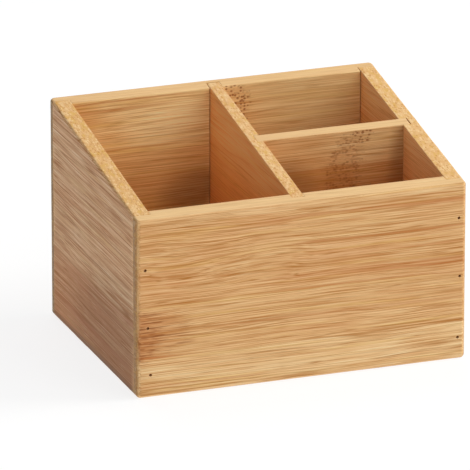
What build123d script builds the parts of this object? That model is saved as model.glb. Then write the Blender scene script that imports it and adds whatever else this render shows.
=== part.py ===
from build123d import *
import math
import os

# Desk organiser of solid bamboo board: a four-walled box, high at the back and low at the
# front, with one full-depth compartment on the left and two compartments on the right.
# Millimetres. +X is the width, +Y runs from front to back, +Z is up. The origin is the
# middle of the footprint, on the surface that the organiser stands on.

# Driving dimensions
WIDTH = 150.0
DEPTH = 115.0
BACK_HEIGHT = 100.0
FRONT_HEIGHT = 80.0
WALL = 7.9  # thickness of the four walls
DIVIDER = 5.8  # thickness of the two dividers
BASE = 4.0  # thickness of the base panel
BASE_LIFT = 4.0  # underside of the base panel above the table
DIVIDER_X = -0.5  # middle plane of the centre divider
CROSS_Y = 0.8  # middle plane of the cross divider

# Joinery
FRONT_RABBET = 3.1  # depth of the rabbets and the dado in the front panel
BACK_RABBET = 3.4  # depth of the rabbets in the back panel
BACK_DADO = 4.7  # depth of the dado in the back panel
CENTRE_DADO = 2.5  # depth of the dado in the centre divider
SIDE_DADO = 3.8  # depth of the dado in the right side panel
BASE_GROOVE = 2.5  # depth of the groove that holds the base panel
BASE_PLAY = 0.3  # room round the base panel for it to swell
END_GAP = 0.4  # a divider's end stops this short of the bottom of its dado
JOINT_PLAY = 0.25  # extra width of a rabbet or dado that was cut loose

# Eased edges
CORNER_R = 2.0  # upright corners
RIM_R = 1.3  # outer edge of the sloped rim
FOOT_R = 1.8  # outer bottom edge
INNER_R = 0.2  # inner edges of the rim

# Pins, driven through the front and back panels into the ends of the side panels
PIN_R = 0.45
PIN_HEAD_R = 0.58
PIN_HEAD = 0.6  # length of the head
PIN_LENGTH = 22.0
PIN_POINT = 1.6  # length of the point
PIN_SINK = 0.9  # depth of the head below the surface
PIN_CLEARANCE = 0.02
# (drift from the middle plane of the side panel, height), because they are driven by hand
FRONT_LEFT_PINS = [(-0.1, 57.6), (1.0, 31.5), (2.1, 10.3)]
FRONT_RIGHT_PINS = [(0.4, 64.4), (1.0, 37.9), (0.3, 10.0)]
BACK_LEFT_PINS = [(-0.3, 82.0), (0.6, 46.5), (0.2, 11.5)]
BACK_RIGHT_PINS = [(0.4, 79.5), (-0.5, 48.0), (0.3, 12.0)]

# Derived planes
HALF_W = WIDTH / 2
HALF_D = DEPTH / 2
INNER_X = HALF_W - WALL  # inner face of the right side panel
INNER_Y = HALF_D - WALL  # inner face of the back panel
FLOOR_Z = BASE_LIFT + BASE  # top of the base panel
DIVIDER_LEFT = DIVIDER_X - DIVIDER / 2
DIVIDER_RIGHT = DIVIDER_X + DIVIDER / 2
CROSS_FRONT = CROSS_Y - DIVIDER / 2
CROSS_BACK = CROSS_Y + DIVIDER / 2
SIDE_X = HALF_W - WALL / 2  # middle plane of the right side panel
SLOPE = (BACK_HEIGHT - FRONT_HEIGHT) / DEPTH
TOP = BACK_HEIGHT + 10.0  # above everything, for boards before the rim is cut


def block(x0, x1, y0, y1, z0, z1):
    """A box between two corners."""
    box = Box(x1 - x0, y1 - y0, z1 - z0)
    return Pos((x0 + x1) / 2, (y0 + y1) / 2, (z0 + z1) / 2) * box


def wedge():
    """The solid outer form, with its sloped top."""
    outline = Polyline(
        (-HALF_D, 0),
        (HALF_D, 0),
        (HALF_D, BACK_HEIGHT),
        (-HALF_D, FRONT_HEIGHT),
        close=True,
    )
    return extrude(Plane.YZ * make_face(outline), HALF_W, both=True)


def is_upright(edge):
    return abs(edge.tangent_at(0.5).Z) > 0.999


def is_on_rim(edge):
    middle = edge.position_at(0.5)
    return abs(middle.Z - FRONT_HEIGHT - SLOPE * (middle.Y + HALF_D)) < 0.01


def eased_block():
    """The outer form with its edges rounded, hollowed out to the three compartments."""
    body = wedge()
    body = fillet([e for e in body.edges() if is_upright(e)], CORNER_R)
    body = fillet([e for e in body.edges() if is_on_rim(e)], RIM_R)
    body = fillet([e for e in body.edges() if e.position_at(0.5).Z < 0.01], FOOT_R)
    compartments = [
        block(-INNER_X, DIVIDER_LEFT, -INNER_Y, INNER_Y, FLOOR_Z, TOP),
        block(DIVIDER_RIGHT, INNER_X, CROSS_BACK, INNER_Y, FLOOR_Z, TOP),
        block(DIVIDER_RIGHT, INNER_X, -INNER_Y, CROSS_FRONT, FLOOR_Z, TOP),
    ]
    for compartment in compartments:
        body -= compartment
    inner_rim = []
    for edge in body.edges():
        middle = edge.position_at(0.5)
        inside = abs(middle.X) < INNER_X + 0.01 and abs(middle.Y) < INNER_Y + 0.01
        if is_on_rim(edge) and inside:
            inner_rim.append(edge)
    return chamfer(inner_rim, INNER_R)


def revolved(points):
    """A solid of revolution about +Y, from (radius, distance along Y) points."""
    return revolve(make_face(Polyline(*points, close=True)), Axis.Y)


def pin():
    """One headed pin, its head's outer face at y = 0 and its point towards +Y."""
    shank_end = PIN_LENGTH - PIN_POINT
    return revolved(
        [
            (0, 0),
            (PIN_HEAD_R, 0),
            (PIN_HEAD_R, PIN_HEAD),
            (PIN_R, PIN_HEAD),
            (PIN_R, shank_end),
            (0, PIN_LENGTH),
        ]
    )


def pin_hole():
    """The hole that the pin leaves: open to the surface, with a shoulder under the head."""
    head_r = PIN_HEAD_R + PIN_CLEARANCE
    shank_r = PIN_R + PIN_CLEARANCE
    tip = PIN_LENGTH + 0.2
    return revolved(
        [
            (0, -2 * PIN_SINK),
            (head_r, -2 * PIN_SINK),
            (head_r, PIN_HEAD),
            (shank_r, PIN_HEAD),
            (shank_r, PIN_LENGTH - PIN_POINT + 0.1),
            (0, tip),
        ]
    )


def placed(shape, side, front, spots):
    """Copies of the shape at each spot of one corner of the box, pointing inwards."""
    copies = []
    for drift, height in spots:
        x = side * SIDE_X + drift
        if front:
            copies.append(Pos(x, -HALF_D + PIN_SINK, height) * shape)
        else:
            copies.append(Pos(x, HALF_D - PIN_SINK, height) * Rot(0, 0, 180) * shape)
    return copies


PIN_SETS = {
    "front_left_pins": (-1, True, FRONT_LEFT_PINS),
    "front_right_pins": (1, True, FRONT_RIGHT_PINS),
    "back_left_pins": (-1, False, BACK_LEFT_PINS),
    "back_right_pins": (1, False, BACK_RIGHT_PINS),
}
FORM = eased_block()
PIN_HOLES = []
for side, front, spots in PIN_SETS.values():
    PIN_HOLES += placed(pin_hole(), side, front, spots)


def finished(board):
    """The board, pinned and sanded with the rest of the box."""
    board = board & FORM
    for hole in PIN_HOLES:
        board -= hole
    return board


def base_groove():
    """The ring that the four wall grooves and the base panel share."""
    reach_x = INNER_X + BASE_GROOVE
    reach_y = INNER_Y + BASE_GROOVE
    return block(-reach_x, reach_x, -reach_y, reach_y, BASE_LIFT, FLOOR_Z)


def front_panel():
    """Full-width front board: a rabbet at each end, a dado for the centre divider."""
    seat = -INNER_Y - FRONT_RABBET
    board = block(-HALF_W, HALF_W, -HALF_D, -INNER_Y, 0, TOP)
    board -= block(-HALF_W, -INNER_X, seat, -INNER_Y, 0, TOP)
    board -= block(INNER_X, HALF_W, seat, -INNER_Y, 0, TOP)
    board -= block(DIVIDER_LEFT, DIVIDER_RIGHT, seat, -INNER_Y, FLOOR_Z, TOP)
    return finished(board - base_groove())


def back_panel():
    """Full-width back board, cut like the front, with looser rabbets and dado."""
    seat = INNER_Y + BACK_RABBET
    board = block(-HALF_W, HALF_W, INNER_Y, HALF_D, 0, TOP)
    board -= block(-HALF_W, -INNER_X, INNER_Y, seat, 0, TOP)
    board -= block(INNER_X - JOINT_PLAY, HALF_W, INNER_Y, seat, 0, TOP)
    dado_left = DIVIDER_LEFT - JOINT_PLAY
    board -= block(dado_left, DIVIDER_RIGHT, INNER_Y, INNER_Y + BACK_DADO, FLOOR_Z, TOP)
    return finished(board - base_groove())


def side_board(x0, x1):
    """A plain side board, its two ends housed in the rabbets of the front and back."""
    return block(x0, x1, -INNER_Y - FRONT_RABBET, INNER_Y + BACK_RABBET, 0, TOP)


def left_side_panel():
    return finished(side_board(-HALF_W, -INNER_X) - base_groove())


def right_side_panel():
    """The right side board, with a dado for the cross divider."""
    board = side_board(INNER_X, HALF_W) - base_groove()
    board -= block(INNER_X, INNER_X + SIDE_DADO, CROSS_FRONT, CROSS_BACK, FLOOR_Z, TOP)
    return finished(board)


def centre_divider():
    """Runs from front to back, with a dado in its right face for the cross divider."""
    front_end = -INNER_Y - FRONT_RABBET
    back_end = INNER_Y + BACK_DADO - END_GAP
    board = block(DIVIDER_LEFT, DIVIDER_RIGHT, front_end, back_end, FLOOR_Z, TOP)
    dado_x = DIVIDER_RIGHT - CENTRE_DADO
    board -= block(dado_x, DIVIDER_RIGHT, CROSS_FRONT, CROSS_BACK, FLOOR_Z, TOP)
    return finished(board)


def cross_divider():
    """Parts the right half into a rear and a front compartment."""
    left_end = DIVIDER_RIGHT - CENTRE_DADO
    right_end = INNER_X + SIDE_DADO - END_GAP
    return finished(block(left_end, right_end, CROSS_FRONT, CROSS_BACK, FLOOR_Z, TOP))


def base_panel():
    """The floor of the compartments, held in the wall grooves."""
    reach_x = INNER_X + BASE_GROOVE - BASE_PLAY
    reach_y = INNER_Y + BASE_GROOVE - BASE_PLAY
    return block(-reach_x, reach_x, -reach_y, reach_y, BASE_LIFT, FLOOR_Z)


PIECES = {
    "front_panel": front_panel(),
    "back_panel": back_panel(),
    "left_side_panel": left_side_panel(),
    "right_side_panel": right_side_panel(),
    "centre_divider": centre_divider(),
    "cross_divider": cross_divider(),
    "base_panel": base_panel(),
}
for node, (side, front, spots) in PIN_SETS.items():
    PIECES[node] = Compound(children=placed(pin(), side, front, spots))

os.makedirs("parts", exist_ok=True)
for node, shape in PIECES.items():
    export_step(shape, f"parts/{node}.step")

print(f"rim slope {math.degrees(math.atan(SLOPE)):.2f} degrees, {len(PIECES)} nodes")
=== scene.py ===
import math
import random

import bmesh
import bpy
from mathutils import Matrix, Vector, noise


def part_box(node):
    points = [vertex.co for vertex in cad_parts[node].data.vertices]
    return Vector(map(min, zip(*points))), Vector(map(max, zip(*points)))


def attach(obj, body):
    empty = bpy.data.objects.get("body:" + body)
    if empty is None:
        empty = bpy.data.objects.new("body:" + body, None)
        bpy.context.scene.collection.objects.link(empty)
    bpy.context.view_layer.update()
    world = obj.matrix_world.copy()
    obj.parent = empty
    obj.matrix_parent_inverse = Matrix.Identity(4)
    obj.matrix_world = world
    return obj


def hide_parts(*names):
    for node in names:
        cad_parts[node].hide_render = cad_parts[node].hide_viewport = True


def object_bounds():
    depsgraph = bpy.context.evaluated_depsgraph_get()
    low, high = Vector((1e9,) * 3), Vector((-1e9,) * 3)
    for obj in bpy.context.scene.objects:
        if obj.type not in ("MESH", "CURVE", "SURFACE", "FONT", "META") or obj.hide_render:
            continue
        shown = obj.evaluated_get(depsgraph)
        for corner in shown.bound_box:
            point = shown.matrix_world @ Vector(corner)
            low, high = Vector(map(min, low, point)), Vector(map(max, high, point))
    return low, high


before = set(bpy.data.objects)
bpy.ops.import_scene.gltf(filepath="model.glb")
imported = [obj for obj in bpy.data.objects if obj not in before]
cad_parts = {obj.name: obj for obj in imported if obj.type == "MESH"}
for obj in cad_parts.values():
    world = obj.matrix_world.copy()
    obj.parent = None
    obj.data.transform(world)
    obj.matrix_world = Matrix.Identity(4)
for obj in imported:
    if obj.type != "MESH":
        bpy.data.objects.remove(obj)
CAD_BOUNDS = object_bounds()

# Bamboo desk organiser: the seven boards are rebuilt as finely divided meshes with unevenly worn
# edges and fibres in slight relief, and the pins keep their CAD meshes.
# Metres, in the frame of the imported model: +X width, +Y from front to back, +Z up.

MM = 0.001
LOW = Vector(CAD_BOUNDS[0])
X, Y, Z = 0, 1, 2


# ---------------------------------------------------------------- the sloped rim

CROSS_LOW, CROSS_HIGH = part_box("cross_divider")
SAME_PLANE = 0.01 * MM


def rim_plane():
    """The sloped top as (height at y = 0, rise per metre), from the cross divider's top."""
    corners = [v.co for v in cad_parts["cross_divider"].data.vertices]
    front = max(co.z for co in corners if co.y - CROSS_LOW.y < SAME_PLANE)
    back = max(co.z for co in corners if CROSS_HIGH.y - co.y < SAME_PLANE)
    rise = (back - front) / (CROSS_HIGH.y - CROSS_LOW.y)
    return front - rise * CROSS_LOW.y, rise


RIM_HEIGHT, RIM_RISE = rim_plane()
RIM_NORMAL = Vector((0, -RIM_RISE, 1)).normalized()


def below_rim(point):
    """Depth of a point under the sloped top."""
    return RIM_HEIGHT + RIM_RISE * point.y - point.z


# ---------------------------------------------------------------- board meshes

COARSE = 1
ACROSS_STEP = 0.5 * MM * COARSE  # between cuts across the grain
ALONG_STEP = 3.0 * MM * COARSE  # between cuts along the grain
RIM_STEP = 0.9 * MM * COARSE  # between cuts along the sloped rim
RIM_ZONE = 1.6 * MM  # depth of the finely cut zone under the rim
RELIEF = 0.03 * MM  # depth of the furrows between fibres
FURROWS = 1.3  # furrows per millimetre across the grain
GRAIN_STRETCH = 0.04  # the same along the grain, as a share of FURROWS
WEAR = 0.13 * MM  # depth of the wear on the rounded edges
WEAR_LENGTH = 7.0  # millimetres between more and less worn stretches of an edge
CHIP_LENGTH = 0.9  # millimetres between the small dents of an edge
HALFWAY = 0.26  # lean of a normal, as 1 - cosine, near the middle of a rounded edge
WELD = 1e-6  # distance at which the CAD mesh's doubled vertices are joined
HAIR = 1e-7  # tolerance of a cut
FLAT_ANGLE = math.radians(0.4)  # faces closer than this are one flat face
CREASE_ANGLE = math.radians(32)  # edges sharper than this aren't shaded smooth


def steps(low, high, step, rng):
    """Uneven positions from low to high, about a step apart."""
    count = max(1, round((high - low) / step))
    pitch = (high - low) / count
    return [low + pitch * (i + rng.uniform(-0.25, 0.25)) for i in range(1, count)]


def cut_faces(bm, faces, axis, positions):
    """Cuts the faces with planes at right angles to an axis."""
    normal = Vector((0, 0, 0))
    normal[axis] = 1
    for position in positions:
        geometry = set(faces)
        for face in faces:
            geometry.update(face.edges)
            geometry.update(face.verts)
        cut = bmesh.ops.bisect_plane(
            bm, geom=list(geometry), dist=HAIR, plane_co=normal * position, plane_no=normal
        )
        found = [g for g in cut["geom"] if isinstance(g, bmesh.types.BMFace)]
        faces = [f for f in found if max(v.co[axis] for v in f.verts) > position + HAIR]
        if not faces:
            break


def edge_share(normal):
    """0 on a flat face, 1 halfway round an edge."""
    flat = max(abs(normal.x), abs(normal.y), abs(normal.z), abs(normal.dot(RIM_NORMAL)))
    return min(1.0, max(0.0, (1.0 - flat) / HALFWAY))


def build_board(node, grain, across):
    """A finely divided copy of a CAD board, with eased edges and fibre relief."""
    rng = random.Random(node)
    low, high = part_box(node)
    through = 3 - grain - across
    bm = bmesh.new()
    bm.from_mesh(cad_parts[node].data)
    bmesh.ops.remove_doubles(bm, verts=bm.verts, dist=WELD)
    bmesh.ops.dissolve_limit(bm, angle_limit=FLAT_ANGLE, verts=bm.verts, edges=bm.edges)
    for axis, pitch in ((across, ACROSS_STEP), (grain, ALONG_STEP), (through, ACROSS_STEP)):
        cut_faces(bm, bm.faces[:], axis, steps(low[axis], high[axis], pitch, rng))
    if node != "base_panel":
        rim_faces = [f for f in bm.faces if below_rim(f.calc_center_median()) < RIM_ZONE]
        cut_faces(bm, rim_faces, grain, steps(low[grain], high[grain], RIM_STEP, rng))
    bm.normal_update()
    seed = Vector([rng.uniform(-50, 50) for _ in range(3)])
    stretch = Vector((1, 1, 1))
    stretch[grain] = GRAIN_STRETCH
    # how far a point lies on a worn edge, painted paler by the material as wear and as a highlight
    share = bm.verts.layers.float.new("edge_wear_and_highlight")
    moves = []
    for vert in bm.verts:
        millimetres = vert.co / MM
        fibres = noise.noise(millimetres * stretch * FURROWS + seed)
        edge = edge_share(vert.normal)
        broad = noise.noise(millimetres / WEAR_LENGTH + seed)
        chips = max(0.0, noise.noise(millimetres / CHIP_LENGTH - seed) - 0.18)
        depth = RELIEF * (0.5 + 0.5 * fibres)
        depth += edge * WEAR * (0.45 + 0.8 * broad + 1.6 * chips)
        moves.append(vert.normal * -max(0.0, depth))
        vert[share] = edge * min(1.0, max(0.0, 0.6 + broad + chips))
    for vert, move in zip(bm.verts, moves):
        vert.co += move
    bmesh.ops.triangulate(bm, faces=[f for f in bm.faces if len(f.verts) > 4])
    bm.normal_update()
    for edge in bm.edges:
        edge.smooth = edge.calc_face_angle(0.0) < CREASE_ANGLE
    for face in bm.faces:
        face.smooth = True
    mesh = bpy.data.meshes.new(node + "_board")
    bm.to_mesh(mesh)
    bm.free()
    board = bpy.data.objects.new(node + "_board", mesh)
    bpy.context.scene.collection.objects.link(board)
    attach(board, "root")
    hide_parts(node)
    return board


# ---------------------------------------------------------------- material helpers


class Shader:
    """Short calls that build one material's node tree."""

    def __init__(self, name):
        self.material = bpy.data.materials.new(name)
        self.material.use_nodes = True
        self.tree = self.material.node_tree
        self.tree.nodes.clear()

    def node(self, kind, *values, **settings):
        """A new shader node, with the values on its first inputs."""
        made = self.tree.nodes.new("ShaderNode" + kind)
        for key, setting in settings.items():
            setattr(made, key, setting)
        for socket, value in zip(made.inputs, values):
            self.feed(socket, value)
        return made

    def feed(self, socket, value):
        """Links a socket to the input, or sets the input's own value."""
        if isinstance(value, bpy.types.NodeSocket):
            self.tree.links.new(value, socket)
        elif value is not None:
            socket.default_value = value

    def feed_named(self, made, **inputs):
        """Feeds inputs by name, with spaces written as underscores, and returns the outputs."""
        for name, value in inputs.items():
            self.feed(made.inputs[name.replace("_", " ")], value)
        return made.outputs

    def math(self, operation, *values, clamp=False):
        """One calculation, kept within 0 to 1 if clamp is set."""
        return self.node("Math", *values, operation=operation, use_clamp=clamp).outputs[0]

    def step(self, value, low, high, start=0.0, end=1.0):
        """A smooth rise from start at low to end at high."""
        made = self.node("MapRange", interpolation_type="SMOOTHSTEP")
        outputs = self.feed_named(
            made, Value=value, From_Min=low, From_Max=high, To_Min=start, To_Max=end
        )
        return outputs["Result"]

    def stretched(self, vector, scale, shift):
        """A vector times a scale, plus a shift."""
        return self.node("VectorMath", vector, scale, shift, operation="MULTIPLY_ADD").outputs[0]

    def noise(self, vector, detail=2.0, roughness=0.5):
        """Noise of about -0.5 to 0.5."""
        made = self.node("TexNoise")
        outputs = self.feed_named(
            made, Vector=vector, Scale=1.0, Detail=detail, Roughness=roughness
        )
        return self.math("SUBTRACT", outputs["Fac"], 0.5)

    def cells(self, vector):
        """Voronoi cells as (distance from the middle, a random number per cell)."""
        made = self.node("TexVoronoi", feature="F1")
        outputs = self.feed_named(made, Vector=vector, Scale=1.0, Randomness=1.0)
        return outputs["Distance"], self.node("SeparateColor", outputs["Color"]).outputs[0]

    def mix(self, factor, first, second, blend="MIX"):
        """The first colour at factor 0 and the second at 1, or blended in another way."""
        made = self.node("Mix", data_type="RGBA", blend_type=blend)
        first, second = (
            (*colour, 1) if isinstance(colour, tuple) else colour for colour in (first, second)
        )
        return self.feed_named(made, Factor=factor, A=first, B=second)["Result"]

    def ramp(self, factor, stops):
        """Colours in between stops of (position, colour)."""
        made = self.node("ValToRGB", factor)
        elements = made.color_ramp.elements
        while len(elements) < len(stops):
            elements.new(0.5)
        for element, (position, colour) in zip(elements, stops):
            element.position = position
            element.color = (*colour, 1)
        return made.outputs[0]

    def bump(self, height, distance):
        """A normal from a height of 0 to 1 that stands for a distance."""
        made = self.node("Bump")
        return self.feed_named(made, Height=height, Distance=distance, Strength=1.0)[0]

    def finish(self, **inputs):
        """Closes the tree with a Principled shader and returns the material."""
        self.node("OutputMaterial", self.feed_named(self.node("BsdfPrincipled"), **inputs)[0])
        return self.material


def srgb(red, green, blue):
    """A linear colour from 0 to 255 display values."""
    values = (red / 255, green / 255, blue / 255)
    return tuple(v / 12.92 if v <= 0.04045 else ((v + 0.055) / 1.055) ** 2.4 for v in values)


# ---------------------------------------------------------------- bamboo

CREAM = srgb(253, 220, 164)
PALE = srgb(248, 205, 146)
TAN = srgb(233, 179, 118)
BROWN = srgb(206, 140, 78)
LINE = srgb(176, 104, 18)
DARK_LINE = srgb(136, 72, 16)
OCHRE = srgb(230, 182, 88)
BLUSH = srgb(216, 128, 74)
STREAK = srgb(190, 102, 38)
KNUCKLE = srgb(138, 62, 12)
# the colour of painted shade
PAINTED_SHADE = srgb(72, 40, 8)
RIM = srgb(240, 191, 127)
SPECK = srgb(208, 142, 62)
TAN_TONE = 0.6  # the plain board's tone, where 0 is cream and 1 is brown
FURROW = 0.009 * MM  # depth of the shading's furrows
STREAK_FADE = 14  # half the length, in millimetres, over which a streak fades at its ends


def bamboo(
    name,
    grain,
    across,
    seed,
    strips,
    tint=(1, 1, 1),
    other_tint=None,
    contrast=1.0,
    shine=0.25,
    rim=0.5,
    end_colour=srgb(180, 142, 88),
    streaks=(),
    lit_and_shaded_patches=(),
    painted_shades=(),
    knuckles=(),
    eyes=(),
):
    """Bamboo board as a solid texture: lines on the faces and dots on cut ends.

    Lengths are in millimetres, along the grain and across it:
    strips: (lower edge, tone, blush) of each strip of the lamination, from the bottom
    tint: factors on the colour, partly the wood's own colour and partly painted light and shade
    other_tint: factors on the side that faces right or to the back, if it isn't like the other;
        the difference between the two sides is painted light and shade
    contrast: strength of the lines against the ground
    shine: specular level
    rim: how far the sanded rim goes to one even colour
    end_colour: colour of the cut ends; the back panel's darker one is painted shade
    streaks: (across, start, end, half width, strength) of the darker lines
    lit_and_shaded_patches: (along, across, half length, half width, tone) of the paler patches
    of painted light and browner patches of painted shade, partly the wood's own tone
    painted_shades: (along, across, half length, half width, strength) of the patches darkened
    as painted shade, only on the side that faces left or to the front
    knuckles: (along, across, half length, half width, slant, dash length, strength of the
        tint, strength of the dots)
    eyes: (along, across, half length, half width, slope) of the patches with wavy grain
    """
    s = Shader(name)
    rng = random.Random(seed)

    def joined(a, b, c):
        """A place from its three coordinates."""
        return s.node("CombineXYZ", a, b, c).outputs[0]

    def drawn_out(where, along, side):
        """A place in units of one wave or one cell, in a part of the texture of its own."""
        shift = tuple(rng.uniform(-90, 90) for _ in range(3))
        return s.stretched(where, (1 / along, 1 / side, 1 / side), shift)

    def waves(where, along, side, detail=2.0, roughness=0.5):
        """Noise that is drawn out along the grain."""
        return s.noise(drawn_out(where, along, side), detail, roughness)

    def fibres(along, side, detail=2.0, roughness=0.5):
        """Noise that is drawn out along the bent grain."""
        return waves(fibre_place, along, side, detail, roughness)

    def spindles(along, side, far, low, high):
        """Pointed dashes along the bent grain, 0 to 1, on the share of cells above low."""
        distance, pick = s.cells(drawn_out(fibre_place, along, side))
        return s.math("MULTIPLY", s.step(distance, far, 0.1), s.step(pick, low, high))

    def ridges(along, side, width):
        """Long thin lines along the bent grain, 0 to 1, that come and go."""
        line = s.step(s.math("ABSOLUTE", fibres(along, side, 1)), width, 0.0)
        strength = s.step(fibres(0.3 * along, 1.5 * side), -0.15, 0.15, 0.2, 1.0)
        return s.math("MULTIPLY", line, strength)

    def oval(along, height, half_length, half_width, slant=0.0):
        """Squared distance from the middle of an oval patch, 1 at its edge."""
        dv = s.math("SUBTRACT", v, height)
        du = s.math("SUBTRACT", s.math("SUBTRACT", u, along), s.math("MULTIPLY", dv, slant))
        ragged = s.math("ADD", du, s.math("MULTIPLY", ripple, 7.0))
        return s.math(
            "ADD",
            s.math("POWER", s.math("DIVIDE", ragged, half_length), 2.0),
            s.math("POWER", s.math("DIVIDE", dv, half_width), 2.0),
        )

    through = 3 - grain - across
    place = s.node("SeparateXYZ", s.node("TexCoord").outputs["Object"]).outputs
    u, v, w = (s.math("MULTIPLY", place[axis], 1 / MM) for axis in (grain, across, through))
    facing = s.node("SeparateXYZ", s.node("NewGeometry").outputs["True Normal"]).outputs
    up = s.step(facing[Z], 0.8, 0.95)
    end = s.step(s.math("ABSOLUTE", facing[grain]), 0.55, 0.85)
    wide = s.step(s.math("ABSOLUTE", facing[through]), 0.5, 0.8)
    one_side = s.step(facing[through], -0.5, -0.8)

    # the grain wanders a little, and more around the eyes
    straight = joined(u, v, w)
    sway = waves(straight, 90, 26, 1)
    ripple = waves(straight, 22, 7)
    bend = s.math("ADD", s.math("MULTIPLY", sway, 3.0), s.math("MULTIPLY", ripple, 0.25))
    curl = waves(straight, 24, 6, 1)
    for *eye, slope in eyes:
        climb = s.math("MULTIPLY", s.math("SUBTRACT", u, eye[0]), slope)
        inside = s.step(oval(*eye), 1.2, 0.0)
        bend = s.math("ADD", bend, s.math("MULTIPLY", inside, s.math("SUBTRACT", curl, climb)))
    v_bent = s.math("ADD", v, bend)
    fibre_place = joined(u, v_bent, s.math("ADD", w, s.math("MULTIPLY", bend, 0.5)))

    fine = fibres(36, 0.4, 2, 0.6)
    threads = fibres(80, 0.7, 1)
    medium = fibres(70, 2.2)
    broad = fibres(140, 8)
    patch = fibres(45, 14)
    hairline = s.math("MAXIMUM", ridges(140, 1.3, 0.04), ridges(90, 0.8, 0.05))
    vein = ridges(170, 3.6, 0.03)
    bundle = spindles(55, 0.5, 0.38, 0.4, 0.75)
    sprig = spindles(15, 0.5, 0.4, 0.45, 0.85)
    sprig = s.math("MULTIPLY", sprig, s.step(patch, -0.2, 0.14, 0.4, 1.0))
    dash = spindles(7, 0.5, 0.38, 0.55, 0.95)
    glint = spindles(12, 0.5, 0.38, 0.5, 0.9)

    # each strip of the lamination differs a little from the next
    wobble = s.math("ADD", v, s.math("MULTIPLY", ripple, 0.5))
    tone = s.math("MULTIPLY", fine, 2.3 * contrast)
    for layer, amount in ((threads, 0.4), (broad, 0.1)):
        tone = s.math("ADD", tone, s.math("MULTIPLY", layer, amount * contrast))
    # painted light and shade: patches made paler where light falls and browner where shade falls
    for *spot, paler in lit_and_shaded_patches:
        near = s.step(oval(*spot), 1.3, 0.0, 0.0, paler)
        tone = s.math("SUBTRACT", tone, near)
    _, last_tone, last_blush = strips[0]
    tone = s.math("SUBTRACT", tone, last_tone - TAN_TONE)
    blush = s.math("ADD", s.math("MULTIPLY", patch, 0.5), last_blush)
    seam = None
    for lower_edge, strip_tone, strip_blush in strips[1:]:
        above = s.step(wobble, lower_edge - 0.15, lower_edge + 0.15)
        tone = s.math("SUBTRACT", tone, s.math("MULTIPLY", above, strip_tone - last_tone))
        blush = s.math("ADD", blush, s.math("MULTIPLY", above, strip_blush - last_blush))
        gap = s.step(s.math("ABSOLUTE", s.math("SUBTRACT", wobble, lower_edge)), 0.2, 0.05)
        seam = gap if seam is None else s.math("MAXIMUM", seam, gap)
        last_tone = strip_tone
        last_blush = strip_blush

    colour = s.ramp(tone, [(0.0, CREAM), (0.2, PALE), (TAN_TONE, TAN), (1.0, BROWN)])
    colour = s.mix(s.math("MULTIPLY", blush, 1.0, clamp=True), colour, BLUSH)
    colour = s.mix(s.step(medium, 0.0, -0.25, 0.0, 0.3), colour, OCHRE)
    colour = s.mix(s.math("MULTIPLY", glint, 0.3 * contrast), colour, CREAM)
    for mark, strength in ((bundle, 0.6), (sprig, 0.6), (hairline, 0.9), (vein, 0.75)):
        colour = s.mix(s.math("MULTIPLY", mark, strength * contrast), colour, LINE)
    colour = s.mix(s.math("MULTIPLY", dash, 0.25 * contrast), colour, DARK_LINE)
    colour = s.mix(s.math("MULTIPLY", seam, 0.3), colour, LINE)

    for height, start, end_u, half_width, strength in streaks:
        wander = s.math("ADD", v, s.math("MULTIPLY", sway, 3.0))
        wander = s.math("ADD", wander, s.math("MULTIPLY", ripple, 1.2))
        off = s.math("ABSOLUTE", s.math("SUBTRACT", wander, height))
        off = s.math("ADD", off, s.math("MULTIPLY", fine, half_width))
        mask = s.step(s.math("DIVIDE", off, half_width), 1.2, 0.2, 0.0, strength)
        begun = s.step(u, start - STREAK_FADE, start + STREAK_FADE)
        ended = s.step(u, end_u + STREAK_FADE, end_u - STREAK_FADE)
        for share in (begun, ended, s.step(broad, -0.3, 0.1, 0.6, 1.0)):
            mask = s.math("MULTIPLY", mask, share)
        colour = s.mix(mask, colour, STREAK)

    # painted shade: patches darkened where shade falls, low on a wall, in corners and behind walls
    for *spot, strength in painted_shades:
        mask = s.math("MULTIPLY", s.step(oval(*spot), 1.3, 0.0, 0.0, strength), one_side)
        colour = s.mix(mask, colour, PAINTED_SHADE)

    knots = None
    for along, height, half_length, half_width, slant, length, tinted, dotted in knuckles:
        reach = oval(along, height, half_length, half_width, slant)
        here = joined(u, wobble, w)
        clump = s.step(waves(here, 3.0 * length, 0.8, 3), 0.0, 0.12)
        ragged = s.math("ADD", reach, s.math("MULTIPLY", clump, -0.35))
        mask = s.math("MULTIPLY", s.step(ragged, 0.85, 0.1), wide)
        distance, pick = s.cells(drawn_out(here, length, 1.15))
        dots = s.math("MULTIPLY", s.step(distance, 0.6, 0.25), s.step(pick, 0.15, 0.4))
        dots = s.math("MULTIPLY", dots, s.step(mask, 0.02, 0.4))
        colour = s.mix(s.math("MULTIPLY", mask, tinted), colour, STREAK)
        clump = s.math("MULTIPLY", s.math("MULTIPLY", clump, mask), 2.0 * tinted)
        colour = s.mix(clump, colour, DARK_LINE)
        colour = s.mix(s.math("MULTIPLY", dots, dotted), colour, KNUCKLE)
        knots = dots if knots is None else s.math("ADD", knots, dots)
    # painted light and shade: each side of a board gets its own factors, besides the wood's colour
    shade = tint if other_tint is None else s.mix(one_side, other_tint, tint)
    colour = s.mix(s.step(up, 1.0, 0.0), colour, s.mix(1.0, colour, shade, "MULTIPLY"))

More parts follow.
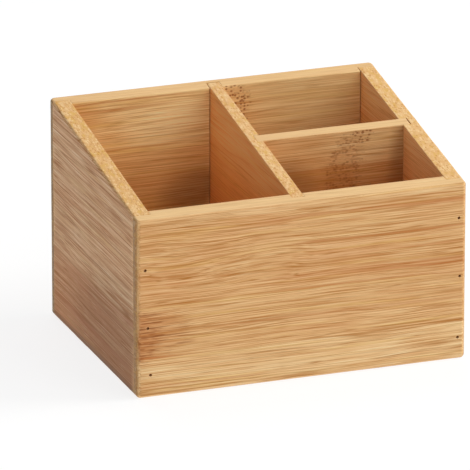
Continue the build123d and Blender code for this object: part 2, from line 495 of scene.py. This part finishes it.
    # the sanded rim and the board's ends are cut across the fibres, so they show specks
    speck_far, speck_pick = s.cells(drawn_out(straight, 1.9, 0.8))
    speck = s.step(speck_far, 0.6, 0.25)
    mottle = waves(straight, 4.5, 2.2, 3, 0.6)
    pale_speck = s.math("MULTIPLY", speck, s.step(speck_pick, 0.62, 0.8))
    dark_speck = s.math("MULTIPLY", speck, s.step(speck_pick, 0.38, 0.15))
    cut = s.math("MULTIPLY", end, 0.4)
    if grain == Y:
        cut = s.math("MAXIMUM", up, cut)
    colour = s.mix(s.math("MULTIPLY", up, rim), colour, RIM if grain == Y else CREAM)
    colour = s.mix(s.math("MULTIPLY", end, 0.85), colour, end_colour)
    for mark, strength, paint in (
        (s.step(mottle, 0.0, 0.14), 0.65, OCHRE),
        (s.step(mottle, 0.0, -0.14), 0.45, CREAM),
        (pale_speck, 0.6, CREAM),
        (dark_speck, 0.75, SPECK),
    ):
        colour = s.mix(s.math("MULTIPLY", s.math("MULTIPLY", mark, cut), strength), colour, paint)

    # paler on the rounded edges: partly real wear, partly a painted highlight where they catch
    # light
    worn_and_lit_edge = s.node("Attribute", attribute_name="edge_wear_and_highlight").outputs["Fac"]
    colour = s.mix(s.math("MULTIPLY", worn_and_lit_edge, 0.3), colour, PALE)

    height = s.math("MULTIPLY", fine, 0.8)
    lows = [(bundle, 0.5), (sprig, 0.5), (hairline, 0.4), (vein, 0.5), (dash, 0.4), (seam, 0.5)]
    lows.append((s.math("MULTIPLY", dark_speck, cut), 0.4))
    if knots is not None:
        lows.append((knots, 0.25))
    for layer, depth in lows:
        height = s.math("SUBTRACT", height, s.math("MULTIPLY", layer, depth))
    gloss = s.math("ADD", 0.55, s.math("MULTIPLY", medium, 0.25))
    gloss = s.math("ADD", gloss, s.math("MULTIPLY", bundle, 0.12), clamp=True)
    return s.finish(
        Base_Color=colour,
        Roughness=gloss,
        Normal=s.bump(height, FURROW),
        Specular_IOR_Level=shine,
    )


# ---------------------------------------------------------------- pins


BROWNED = srgb(124, 68, 22)
RUST = srgb(86, 46, 14)
SCRATCH = 0.01 * MM  # depth of the scratches


def pin_steel():
    """Browned steel wire, dulled, with fine scratches along it and darker specks."""
    s = Shader("pin_steel")
    place = s.node("TexCoord").outputs["Object"]
    scratches = s.noise(s.stretched(place, (9000, 400, 9000), (3, 1, 2)), 3)
    specks = s.noise(s.stretched(place, (2500, 2500, 2500), (7, 5, 9)), 2)
    colour = s.mix(s.step(specks, 0.05, 0.25), BROWNED, RUST)
    rough = s.math("ADD", 0.42, s.math("MULTIPLY", scratches, 0.4))
    return s.finish(
        Base_Color=colour,
        Metallic=0.5,
        Roughness=rough,
        Normal=s.bump(scratches, SCRATCH),
    )


PINS = ("front_left_pins", "front_right_pins", "back_left_pins", "back_right_pins")
STEEL = pin_steel()
for node in PINS:
    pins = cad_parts[node]
    pins.data.materials.clear()
    pins.data.materials.append(STEEL)


# ---------------------------------------------------------------- the boards

# (node, grain axis, across axis, slot)
BOARDS = [
    ("front_panel", X, Z, "wall_board"),
    ("back_panel", X, Z, "wall_board"),
    ("left_side_panel", Y, Z, "side_board"),
    ("right_side_panel", Y, Z, "side_board"),
    ("centre_divider", Y, Z, "divider_board"),
    ("cross_divider", X, Z, "divider_board"),
    ("base_panel", X, Y, "base_board"),
]
LOOKS = {
    "front_panel": dict(
        seed=3,
        tint=(0.93, 0.98, 1.05),
        contrast=0.85,
        rim=0.5,
        end_colour=srgb(148, 102, 54),
        strips=[
            (0, 0.2, -0.05),
            (17.5, 0.0, 0.0),
            (40.5, -0.05, 0.1),
            (61, -0.02, 0.06),
            (77, 0.1, 0.0),
        ],
        streaks=[
            (73.3, -25, 95, 1.3, 0.5),
            (61.2, -5, 95, 0.5, 0.5),
            (54.0, 0, 95, 0.8, 0.3),
            (46.9, -15, 95, 0.9, 0.45),
            (45.3, 0, 95, 0.6, 0.6),
            (40.6, 5, 95, 0.6, 0.35),
            (28.5, -45, 95, 0.5, 0.4),
            (17.9, -90, -57, 0.8, 0.8),
            (4.5, -90, -18, 0.5, 0.5),
        ],
        knuckles=[(-76, 28, 14, 15, 0.0, 4.0, 0.32, 0.35), (-68, 28, 20, 13, 0.0, 6.0, 0.25, 0.0)],
        eyes=[(-33, 57, 36, 18, 0.05), (20, 70, 34, 9, 0.0)],
    ),
    "back_panel": dict(
        seed=8,
        # painted light: the inner face is brighter than the outer one
        tint=(1.12, 1.24, 1.26),
        other_tint=(1.0, 1.02, 1.04),
        contrast=0.6,
        rim=0.35,
        # painted shade: dark cut ends at the back corner, which faces away from the lights
        end_colour=srgb(112, 86, 58),
        strips=[
            (0, -0.1, 0.1),
            (28, 0.0, 0.0),
            (46, -0.15, 0.05),
            (62, -0.05, 0.05),
            # the top strip is paler, partly its own tone and partly painted light on the upper
            # wall
            (72.7, 0.15, 0.0),
        ],
        # painted light on the upper inner face, partly its own paler tone, and painted shade by
        # the left wall
        lit_and_shaded_patches=[(-22, 84, 28, 13, 0.25), (-64, 91, 13, 9, -0.25)],
        # painted shade on the inner face of the back wall, low down and over its right part
        painted_shades=[(-5, 48, 26, 18, 0.45), (45, 84, 60, 50, 0.12)],
        streaks=[(97, -90, -10, 0.6, 0.4), (93, -90, -20, 0.8, 0.4), (75, -90, -20, 0.6, 0.4)],
        knuckles=[(8, 91, 7.5, 13, -0.1, 1.4, 0.08, 0.75)],
    ),
    "left_side_panel": dict(
        seed=14,
        strips=[
            (0, -0.12, 0.2),
            (12, -0.04, 0.12),
            (33, 0.02, 0.0),
            (55, 0.0, 0.0),
            (76, 0.04, 0.0),
        ],
        # painted shade and painted sheen: the outer face is darker and bluer
        tint=(0.85, 0.87, 1.07),
        other_tint=(0.94, 0.97, 1.0),
        contrast=1.15,
        rim=0.6,
        # painted shade: browner towards the foot
        lit_and_shaded_patches=[(0, 2, 90, 38, -0.45)],
        # painted shade along the foot and low down towards the front of the outer face
        painted_shades=[(0, 0, 200, 4, 0.5), (-42, 8, 78, 42, 0.3)],
        streaks=[(27, -90, 20, 0.5, 0.5), (31, -90, 30, 0.4, 0.4), (12, -90, 60, 1.5, 0.4)],
    ),
    "right_side_panel": dict(
        seed=21,
        # painted light and shade: the inner face is made brighter, the outer face duller
        tint=(1.2, 1.13, 1.1),
        other_tint=(0.86, 0.9, 0.96),
        contrast=0.5,
        rim=0.6,
        strips=[(0, 0.0, 0.0), (21, 0.05, 0.0), (44, 0.1, 0.1)],
        lit_and_shaded_patches=[(0, 88, 90, 22, 0.15)],
    ),
    "centre_divider": dict(
        seed=5,
        contrast=0.4,
        rim=0.3,
        # painted light: the face that looks left is brighter and redder, as light bounced in the
        # box
        tint=(1.27, 1.17, 1.03),
        other_tint=(1.06, 1.05, 1.04),
        strips=[(0, 0.0, 0.0), (18, -0.1, 0.1), (39, 0.1, 0.2)],
        # painted light along the top and painted shade lower down
        lit_and_shaded_patches=[(10, 96, 80, 26, 0.3), (10, 40, 80, 34, -0.2)],
    ),
    "cross_divider": dict(
        seed=11,
        tint=(0.99, 1.05, 1.08),
        contrast=0.7,
        lit_and_shaded_patches=[(50, 84, 24, 9, 0.2), (24, 66, 20, 22, -0.2)],
        # painted shade in its left part and in the corner at the right wall
        painted_shades=[(10, 66, 18, 16, 0.4), (69, 66, 9, 40, 0.35)],
        strips=[(0, 0.0, 0.0), (20, 0.1, 0.0), (42, -0.25, 0.08), (74, 0.0, 0.05)],
        knuckles=[
            (48, 87, 6, 4.0, 0.0, 1.6, 0.1, 0.75),
            (40, 72, 9.5, 18, 0.1, 1.5, 0.16, 0.4),
        ],
    ),
    "base_panel": dict(
        seed=17,
        strips=[(-58, -0.05, 0.05), (-24, 0.05, 0.0), (8, -0.02, 0.1), (34, 0.0, 0.0)],
    ),
}

for node, grain, across, slot in BOARDS:
    board = build_board(node, grain, across)
    board.data.materials.append(bamboo(node + "_bamboo", grain, across, **LOOKS[node]))


# ---------------------------------------------------------------- floor, light and camera

# (name, azimuth and elevation in degrees, size in metres, power in watts)
LIGHTS = [
    ("key", 80, 35, 1.2, 45),
    ("front_high", 35, 45, 1.2, 10),
    ("front_low", -10, 18, 1.2, 8.5),
    ("back", 178, 62, 1.4, 12.5),
]
LIGHT_DISTANCE = 2.6
LIT_POINT = Vector((0, 0, 0.04))
WARM_WHITE = (1.0, 0.98, 0.95)
SKY_COLOUR = (0.86, 0.93, 1.0)
SKY_STRENGTH = 0.29

# the camera, at the photograph's viewing angle
AZIMUTH = math.radians(-19.99)
ELEVATION = math.radians(19.25)
DISTANCE = 3.09
LENS = 546.5
TARGET = Vector((LOW.x + 0.0651, 0, 0.0475))

FLOOR_RADIUS = 9.0
FLOOR_GAP = 0.02 * MM  # keeps the floor from touching the foot


def floor():
    """A plain pale floor."""
    mesh = bpy.data.meshes.new("floor")
    bm = bmesh.new()
    bmesh.ops.create_circle(bm, cap_ends=True, segments=96, radius=FLOOR_RADIUS)
    bm.to_mesh(mesh)
    bm.free()
    made = bpy.data.objects.new("floor", mesh)
    made.location.z = LOW.z - FLOOR_GAP
    bpy.context.scene.collection.objects.link(made)
    s = Shader("floor_white")
    mesh.materials.append(
        s.finish(
            Base_Color=(0.22, 0.22, 0.22, 1),
            Roughness=0.9,
            Emission_Color=(1, 1, 1, 1),
            Emission_Strength=0.8,
        )
    )


def around(azimuth, elevation, distance):
    """A place as seen from the organiser: azimuth 0 is in front, pi / 2 to the right."""
    level = distance * math.cos(elevation)
    return Vector(
        (
            level * math.sin(azimuth),
            -level * math.cos(azimuth),
            distance * math.sin(elevation),
        )
    )


def aim(made, outward):
    """Turns a light or a camera to look back along the outward direction."""
    made.rotation_euler = (-outward).to_track_quat("-Z", "Y").to_euler()
    bpy.context.scene.collection.objects.link(made)


def area_light(name, azimuth, elevation, size, power):
    """A square soft box that faces the organiser."""
    data = bpy.data.lights.new(name, "AREA")
    data.size = size
    data.energy = power
    data.color = WARM_WHITE
    lamp = bpy.data.objects.new(name, data)
    lamp.location = around(math.radians(azimuth), math.radians(elevation), LIGHT_DISTANCE)
    aim(lamp, lamp.location - LIT_POINT)


def surroundings():
    """An even faint light from all round."""
    world = bpy.data.worlds.new("studio")
    world.use_nodes = True
    back = world.node_tree.nodes["Background"]
    back.inputs["Color"].default_value = (*SKY_COLOUR, 1)
    back.inputs["Strength"].default_value = SKY_STRENGTH
    bpy.context.scene.world = world


def camera():
    """A long lens that looks down at the organiser from the front left."""
    data = bpy.data.cameras.new("camera")
    data.sensor_width = 36.0
    data.lens = LENS
    data.clip_end = 100
    made = bpy.data.objects.new("camera", data)
    outward = around(AZIMUTH, ELEVATION, 1.0)
    made.location = TARGET + outward * DISTANCE
    aim(made, outward)
    bpy.context.scene.camera = made


floor()
for light in LIGHTS:
    area_light(*light)
surroundings()
camera()
bpy.context.scene.view_settings.view_transform = "Standard"
